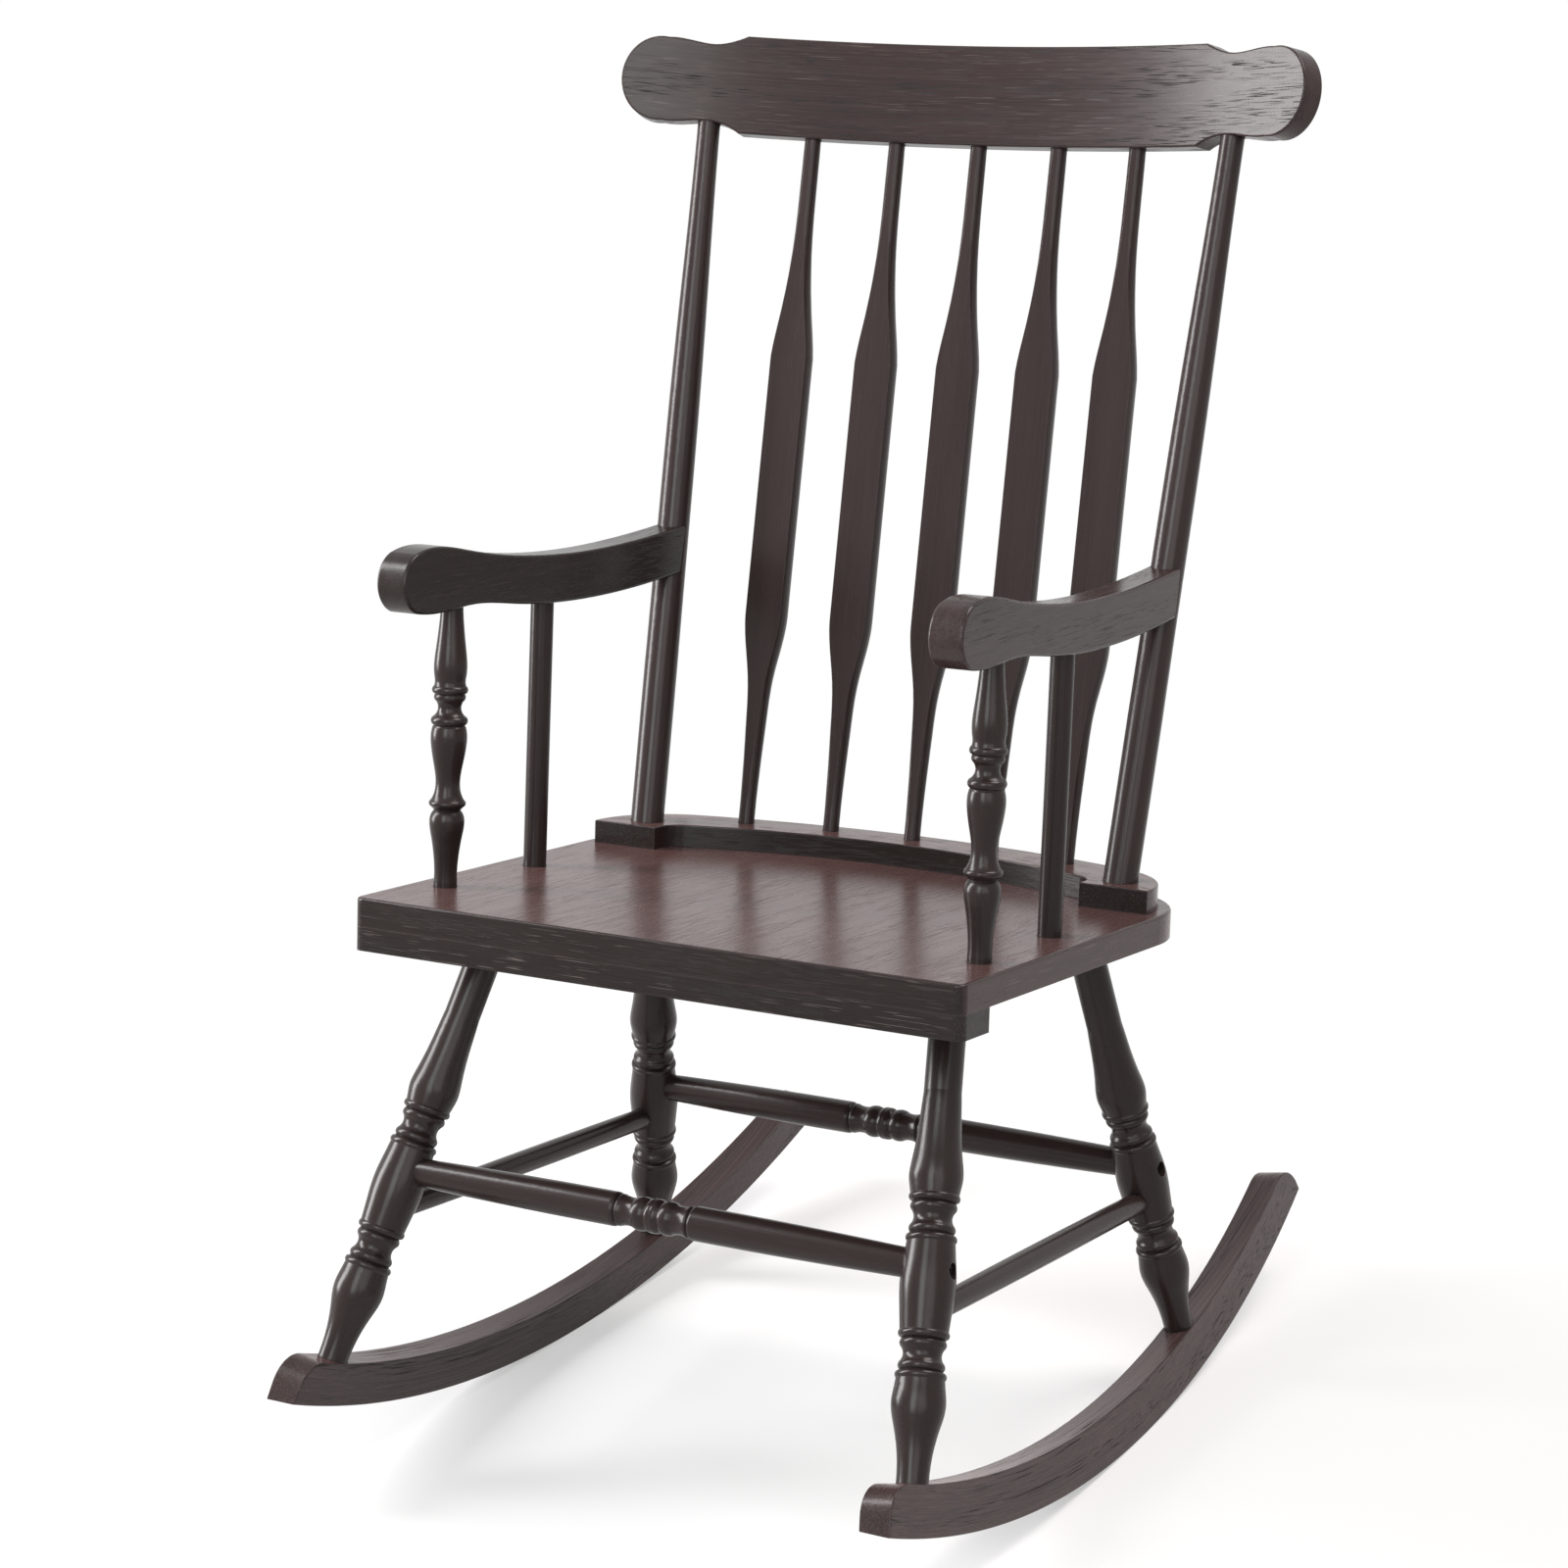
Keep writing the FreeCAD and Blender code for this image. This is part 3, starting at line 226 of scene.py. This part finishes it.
def stained_wood_group():
    """Colour, roughness and height of dark stained, open-pored wood at a place in grain space, in metres."""
    tree = bpy.data.node_groups.new("stained wood", "ShaderNodeTree")
    sockets = [("Place", "INPUT", "NodeSocketVector")]
    sockets += [(name, "INPUT", "NodeSocketFloat") for name in (
        "Seed", "Charcoal and painted light", "Edge", "Painted groove and edge shade", "Streaks", "Figure", "Pores", "Scratches")]
    sockets += [("Color", "OUTPUT", "NodeSocketColor")]
    sockets += [(name, "OUTPUT", "NodeSocketFloat") for name in ("Roughness", "Height")]
    for name, side, kind in sockets:
        tree.interface.new_socket(name, in_out=side, socket_type=kind)
    nodes = Nodes(tree)
    given = nodes.add("NodeGroupInput").outputs
    result = nodes.add("NodeGroupOutput").inputs

    seed = given["Seed"]
    offset = nodes.add("ShaderNodeCombineXYZ", {"X": seed, "Y": seed, "Z": seed}).outputs[0]
    place = nodes.vector("ADD", given["Place"], offset)
    split = nodes.add("ShaderNodeSeparateXYZ", {"Vector": place}).outputs

    # Growth rings: layers some millimetres apart whose wavering makes arches on a flat face
    waver = nodes.noise(place, *RING_WAVER)
    layers = nodes.plus(nodes.math("MULTIPLY", split["Z"], RINGS_THROUGH), split["Y"], RINGS_ACROSS)
    phase = nodes.math("FRACT", nodes.plus(layers, waver, RINGS_SHIFTED))
    late_wood = nodes.math("MULTIPLY", nodes.ramp(phase, 0.35, 0.92), nodes.ramp(phase, 1.0, 0.95))
    rings = nodes.math("MULTIPLY", late_wood, given["Figure"])

    # Fibre streaks, open pores as thin dark dashes, and a few fine light scratches along the grain
    fibres = nodes.noise(place, *FIBRES)
    streaks = nodes.math("MULTIPLY", nodes.math("SUBTRACT", fibres, 0.5), given["Streaks"])
    streak_share = nodes.ramp(given["Charcoal and painted light"], 0.0, 1.0, 1.3, 0.6)
    broad = nodes.math("SUBTRACT", nodes.noise(place, *BROAD_TONE), 0.5)
    crowd = nodes.noise(place, *CROWDING)
    dashes = nodes.noise(place, *PORE_DASHES)
    pores = nodes.math("MULTIPLY", nodes.ramp(dashes, 0.61, 0.66), nodes.ramp(crowd, 0.36, 0.60))
    pores = nodes.math("MULTIPLY", pores, given["Pores"])
    lines = nodes.noise(place, *SCRATCH_LINES)
    scratches = nodes.math("MULTIPLY", nodes.ramp(lines, 0.71, 0.77), nodes.ramp(crowd, 0.60, 0.44))
    scratches = nodes.math("MULTIPLY", scratches, given["Scratches"])

    tone = nodes.plus(BASE_TONE, streaks, streak_share)
    tone = nodes.plus(tone, broad, 0.5)
    tone = nodes.plus(tone, rings, -0.34, clamp=True)
    dark = nodes.mix(given["Charcoal and painted light"], PLUM_DARK, CHARCOAL_DARK)
    light = nodes.mix(given["Charcoal and painted light"], PLUM_LIGHT, CHARCOAL_LIGHT)
    colour = nodes.mix(tone, dark, light)
    # Over the tone: pores, scratches, edges lightened as wear and a painted highlight, and grooves and dark
    # edges painted as shade in the pore colour
    for mask, share, over in ((pores, 0.90, PORE_AND_PAINTED_SHADE), (scratches, 0.45, WOOD_SCRATCH),
                              (given["Edge"], 0.45, EDGE_WEAR_AND_PAINTED_HIGHLIGHT), (given["Painted groove and edge shade"], 0.85, PORE_AND_PAINTED_SHADE)):
        colour = nodes.mix(nodes.math("MULTIPLY", mask, share, clamp=True), colour, over)

    roughness = BASE_ROUGHNESS
    for cause, share in ((streaks, 0.16), (pores, 0.40), (rings, 0.06), (given["Painted groove and edge shade"], 0.30)):
        roughness = nodes.plus(roughness, cause, share)

    height = nodes.math("MULTIPLY", streaks, 0.6)
    height = nodes.plus(height, pores, -0.8)
    height = nodes.plus(height, rings, -0.15)

    nodes.feed(result["Color"], colour)
    nodes.feed(result["Roughness"], roughness)
    nodes.feed(result["Height"], height)
    return tree


def facing(nodes, direction):
    """1 on faces that look in a direction of the row frame."""
    normal = nodes.add("ShaderNodeNewGeometry").outputs["Normal"]
    share = nodes.vector("DOT_PRODUCT", normal, tuple(direction), out="Value")
    return nodes.ramp(share, FACING_FROM, FACING_TO)


def painted_light_and_charcoal_share(nodes, stain_and_painted_light):
    """The share of charcoal: one all over, or a direction with the share of all other faces and of those
    that look there, which paints light and shade into the colour.
    """
    if isinstance(stain_and_painted_light, float):
        return stain_and_painted_light
    direction, elsewhere, there = stain_and_painted_light
    return nodes.ramp(facing(nodes, direction), 0.0, 1.0, elsewhere, there)


def edge_mask(nodes):
    """1 where an edge is near, from how far a rounded normal turns from the true one."""
    rounded = nodes.add("ShaderNodeBevel", {"Radius": EDGE_WIDTH}, samples=SAMPLES)
    true_normal = nodes.add("ShaderNodeNewGeometry").outputs["Normal"]
    alike = nodes.vector("DOT_PRODUCT", rounded.outputs[0], true_normal, out="Value")
    return nodes.ramp(alike, 0.995, 0.80)


def painted_groove_shade(nodes):
    """1 deep in a groove, from how little of the space in front of it is open; there the wood is painted
    darker as shade.
    """
    node = nodes.add("ShaderNodeAmbientOcclusion", {"Distance": GROOVE_SHADE_REACH}, samples=SAMPLES)
    return nodes.ramp(node.outputs["AO"], 0.80, 0.35)


def straight_place(nodes, axis, across):
    """Grain space with x along axis and y near across."""
    x = Vector(axis).normalized()
    z = x.cross(Vector(across)).normalized()
    y = z.cross(x)
    where = nodes.add("ShaderNodeTexCoord").outputs["Object"]
    parts = [nodes.vector("DOT_PRODUCT", where, tuple(unit), out="Value") for unit in (x, y, z)]
    return nodes.add("ShaderNodeCombineXYZ", dict(zip("XYZ", parts))).outputs[0]


def seat_place(nodes):
    """Grain from front to back on the seat's faces, but along the edge on its front face."""
    top = straight_place(nodes, seat_back, X_AXIS)
    front = straight_place(nodes, X_AXIS, seat_up)
    normal = nodes.add("ShaderNodeNewGeometry").outputs["Normal"]
    ahead = nodes.vector("DOT_PRODUCT", normal, tuple(-seat_back), out="Value")
    mask = nodes.math("GREATER_THAN", ahead, FACING_TO)
    masks = nodes.add("ShaderNodeCombineXYZ", {"X": mask, "Y": mask, "Z": mask}).outputs[0]
    change = nodes.vector("MULTIPLY", nodes.vector("SUBTRACT", front, top), masks)
    return nodes.vector("ADD", top, change)


def bent_place(nodes, centre, ahead, side, axis, radius):
    """Grain space round an arc about axis through centre: x along the arc, y along axis, z outwards."""
    where = nodes.add("ShaderNodeTexCoord").outputs["Object"]
    from_centre = nodes.vector("SUBTRACT", where, tuple(centre))
    a = nodes.vector("DOT_PRODUCT", from_centre, tuple(ahead), out="Value")
    b = nodes.vector("DOT_PRODUCT", from_centre, tuple(side), out="Value")
    along = nodes.math("MULTIPLY", nodes.math("ARCTAN2", b, a), radius)
    outwards = nodes.math("SQRT", nodes.plus(nodes.math("MULTIPLY", a, a), b, b))
    beside = nodes.vector("DOT_PRODUCT", from_centre, tuple(axis), out="Value")
    return nodes.add("ShaderNodeCombineXYZ", {"X": along, "Y": beside, "Z": outwards}).outputs[0]


stained_wood = stained_wood_group()
seeds = random.Random(7)


def wood_material(name, place, stain_and_painted_light, streaks=1.0, figure=0.0, pores=1.0, scratches=0.3, edge=0.4,
                  painted_edge_shade=0.0, relief=0.3, sheen=0.0, gloss=0.22, length=1.0):
    """Lacquered stained wood whose grain space comes from place(nodes); length draws its figure out."""
    material = bpy.data.materials.new("wood_" + name)
    material.use_nodes = True
    nodes = Nodes(material.node_tree)
    shader = material.node_tree.nodes["Principled BSDF"].inputs
    edges = edge_mask(nodes)
    wood = nodes.add("ShaderNodeGroup", {}, node_tree=stained_wood)
    values = {
        "Place": nodes.vector("MULTIPLY", place(nodes), (1 / length, 1, 1)),
        "Seed": seeds.uniform(0, 20),
        "Charcoal and painted light": painted_light_and_charcoal_share(nodes, stain_and_painted_light),
        # Edge lightens edges as wear and a painted highlight; the shade mask paints grooves and dark edges
        # darker as shade
        "Edge": nodes.math("MULTIPLY", edges, edge),
        "Painted groove and edge shade": nodes.math("MAXIMUM", painted_groove_shade(nodes), nodes.math("MULTIPLY", edges, painted_edge_shade)),
        "Streaks": streaks,
        "Figure": figure,
        "Pores": pores,
        "Scratches": scratches,
    }
    for socket, value in values.items():
        nodes.feed(wood.inputs[socket], value)
    soft_edge = nodes.add("ShaderNodeBevel", {"Radius": SOFT_EDGE}, samples=SAMPLES)
    bump = nodes.add("ShaderNodeBump", {"Height": wood.outputs["Height"], "Normal": soft_edge.outputs[0],
                                        "Strength": relief, "Distance": RELIEF_DEPTH})
    nodes.feed(shader["Base Color"], wood.outputs["Color"])
    nodes.feed(shader["Roughness"], wood.outputs["Roughness"])
    nodes.feed(shader["Normal"], bump.outputs[0])
    shader["Specular IOR Level"].default_value = gloss
    shader["Sheen Weight"].default_value = sheen
    shader["Sheen Roughness"].default_value = SHEEN_ROUGHNESS
    shader["Sheen Tint"].default_value = SHEEN_TINT
    return material


def steel_material():
    material = bpy.data.materials.new("steel_black_oxide")
    material.use_nodes = True
    nodes = Nodes(material.node_tree)
    shader = material.node_tree.nodes["Principled BSDF"].inputs
    where = nodes.add("ShaderNodeTexCoord").outputs["Object"]
    speckle = nodes.noise(where, *STEEL_SPECKLE)
    bump = nodes.add("ShaderNodeBump", {"Height": speckle, "Strength": 0.1, "Distance": STEEL_RELIEF_DEPTH})
    nodes.feed(shader["Base Color"], nodes.mix(speckle, STEEL_DARK, STEEL_LIGHT))
    nodes.feed(shader["Roughness"], nodes.ramp(speckle, 0.3, 0.7, 0.34, 0.5))
    nodes.feed(shader["Normal"], bump.outputs[0])
    shader["Metallic"].default_value = 1.0
    return material


def dress(node, material):
    piece = frame["nodes"][node]
    piece.data.materials.clear()
    piece.data.materials.append(material)


# Grain direction and look of every piece

def long_axis(node):
    """Direction of a straight piece, from the middles of its vertices near its two ends."""
    low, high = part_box(node)
    longest = max(range(3), key=lambda i: high[i] - low[i])
    reach = END_SHARE * (high[longest] - low[longest])
    vertices = [vertex.co for vertex in frame["nodes"][node].data.vertices]
    ends = []
    for end in (low[longest], high[longest]):
        close = [place for place in vertices if abs(place[longest] - end) < reach]
        ends.append(sum(close, Vector()) / len(close))
    return (ends[1] - ends[0]).normalized()


def dress_straight(node, across, stain_and_painted_light, look):
    """Wood whose grain runs along the piece."""
    axis = long_axis(node)
    dress(node, wood_material(node, lambda nodes: straight_place(nodes, axis, across), stain_and_painted_light, **look))


def dress_seat():
    # Painted shade: the front face gets all charcoal, darker than the rest of the seat
    dress("seat", wood_material("seat", seat_place, (-seat_back, 0.45, 1.0), **SEAT_LOOK))


def dress_rail():
    centre = from_seat(0, RAIL_CENTRE_Y, 0)
    # Painted light: the top faces get little charcoal, lighter than the rest of the rail
    dress("back_rail", wood_material(
        "back_rail", lambda nodes: bent_place(nodes, centre, seat_back, X_AXIS, seat_up, RAIL_RADIUS),
        (seat_up, 1.0, 0.1), **RAIL_LOOK))


def dress_batten():
    dress("seat_front_batten", wood_material(
        "seat_front_batten", lambda nodes: straight_place(nodes, X_AXIS, seat_up), 1.0, **BATTEN_LOOK))


def dress_crest():
    low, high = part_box("crest_rail")
    up = seat_turn @ Matrix.Rotation(-math.radians(CREST_LEAN), 3, "X") @ Z_AXIS
    back = up.cross(X_AXIS).normalized()
    centre = Vector((0, (low.y + high.y) / 2, (low.z + high.z) / 2)) - back * CREST_RADIUS
    # Painted shade: faces that look forward get more charcoal, darker than the rest of the crest
    dress("crest_rail", wood_material(
        "crest_rail", lambda nodes: bent_place(nodes, centre, back, X_AXIS, up, CREST_RADIUS),
        (-back, 0.1, 0.3), **CREST_LOOK))


def dress_rocker(node, side):
    centre = Vector((0, mounts["floor_line"]["pos_m"][1], ROCKER_RADIUS))
    # Painted light: the top faces get no charcoal, lighter than the rest of the rocker
    dress(node, wood_material(
        node, lambda nodes: bent_place(nodes, centre, -Z_AXIS, Y_AXIS, X_AXIS * side, ROCKER_RADIUS),
        (Z_AXIS, 0.1, 0.0), **ROCKER_LOOK))


def dress_all():
    dress_seat()
    dress_rail()
    dress_batten()
    # The arms: painted light, one arm painted lit and the other in shade
    for node, stain_and_painted_light in ARM_CHARCOAL_PAINTED_LIGHT.items():
        dress_straight(node, X_AXIS, stain_and_painted_light, ARM_LOOK)
    dress_crest()
    dress_rocker("rocker_left", 1)
    dress_rocker("rocker_right", -1)
    boards = {"seat", "back_rail", "seat_front_batten", "arm_left", "arm_right", "crest_rail", "rocker_left",
              "rocker_right"}
    steel = steel_material()
    slots = {part["node"]: part["material_slot"] for part in frame["record"]["subparts"]}
    for node in sorted(frame["nodes"]):
        if slots[node] == "dark_steel":
            dress(node, steel)
        elif node not in boards:
            stain_and_painted_light = SLENDER_CHARCOAL if node.startswith(SLENDER_PIECES) else TURNED_CHARCOAL
            dress_straight(node, seat_back, stain_and_painted_light, TURNED_LOOK)


# Studio

def seen_as_backdrop(nodes):
    """1 for the rays that show the floor and the world as a plain white background."""
    path = nodes.add("ShaderNodeLightPath")
    seen = nodes.math("MAXIMUM", path.outputs["Is Camera Ray"], path.outputs["Is Glossy Ray"])
    return nodes.math("MAXIMUM", seen, path.outputs["Is Transmission Ray"])


def plain_floor():
    """A plain floor that shows white, apart from the shadow near the chair."""
    bpy.ops.mesh.primitive_plane_add(size=FLOOR_SIZE, location=(0, 0, 0))
    floor = bpy.context.object
    floor.name = "studio_floor"
    material = bpy.data.materials.new("studio_floor_white")
    material.use_nodes = True
    tree = material.node_tree
    nodes = Nodes(tree)
    shader = tree.nodes["Principled BSDF"]
    shader.inputs["Base Color"].default_value = FLOOR_COLOUR
    shader.inputs["Roughness"].default_value = FLOOR_ROUGHNESS
    shader.inputs["Specular IOR Level"].default_value = FLOOR_GLOSS
    where = nodes.add("ShaderNodeTexCoord").outputs["Object"]
    distance = nodes.vector("DISTANCE", where, SHADOW_CENTRE, out="Value")
    white_share = nodes.ramp(distance, SHADOW_FROM, SHADOW_TO, WHITE_IN_SHADOW_AREA, 1.0)
    white = nodes.add("ShaderNodeEmission", {"Color": (1, 1, 1, 1), "Strength": 1.0})
    both = nodes.add("ShaderNodeMixShader")
    nodes.feed(both.inputs[0], nodes.math("MULTIPLY", seen_as_backdrop(nodes), white_share))
    nodes.feed(both.inputs[1], shader.outputs[0])
    nodes.feed(both.inputs[2], white.outputs[0])
    nodes.feed(tree.nodes["Material Output"].inputs["Surface"], both.outputs[0])
    floor.data.materials.append(material)


def white_world():
    world = bpy.data.worlds.new("studio_world")
    bpy.context.scene.world = world
    world.use_nodes = True
    nodes = Nodes(world.node_tree)
    background = world.node_tree.nodes["Background"].inputs
    strength = nodes.ramp(seen_as_backdrop(nodes), 0.0, 1.0, WORLD_LIGHT, 1.0, kind="LINEAR")
    nodes.feed(background["Strength"], strength)
    background["Color"].default_value = (1, 1, 1, 1)


def add_lamps():
    for name, (place, size, power, colour) in LAMPS.items():
        data = bpy.data.lights.new(name, "AREA")
        data.shape = "RECTANGLE"
        data.size, data.size_y = size
        data.energy = power
        data.color = colour
        lamp = bpy.data.objects.new(name, data)
        lamp.location = place
        lamp.rotation_euler = (Vector(LAMP_TARGET) - Vector(place)).to_track_quat("-Z", "Y").to_euler()
        bpy.context.scene.collection.objects.link(lamp)


def add_camera():
    data = bpy.data.cameras.new("photo_camera")
    data.lens = CAMERA_LENS
    data.sensor_width = SENSOR
    camera = bpy.data.objects.new("photo_camera", data)
    azimuth, elevation = math.radians(CAMERA_AZIMUTH), math.radians(CAMERA_ELEVATION)
    level = Euler((math.pi / 2 - elevation, 0, azimuth), "XYZ").to_matrix()
    rolled = level @ Matrix.Rotation(math.radians(CAMERA_ROLL), 3, "Z")
    camera.matrix_world = Matrix.Translation(from_seat(*CAMERA_PLACE)) @ (seat_turn @ rolled).to_4x4()
    bpy.context.scene.collection.objects.link(camera)
    bpy.context.scene.camera = camera


dress_all()
plain_floor()
white_world()
add_lamps()
add_camera()
bpy.context.scene.view_settings.view_transform = "Standard"
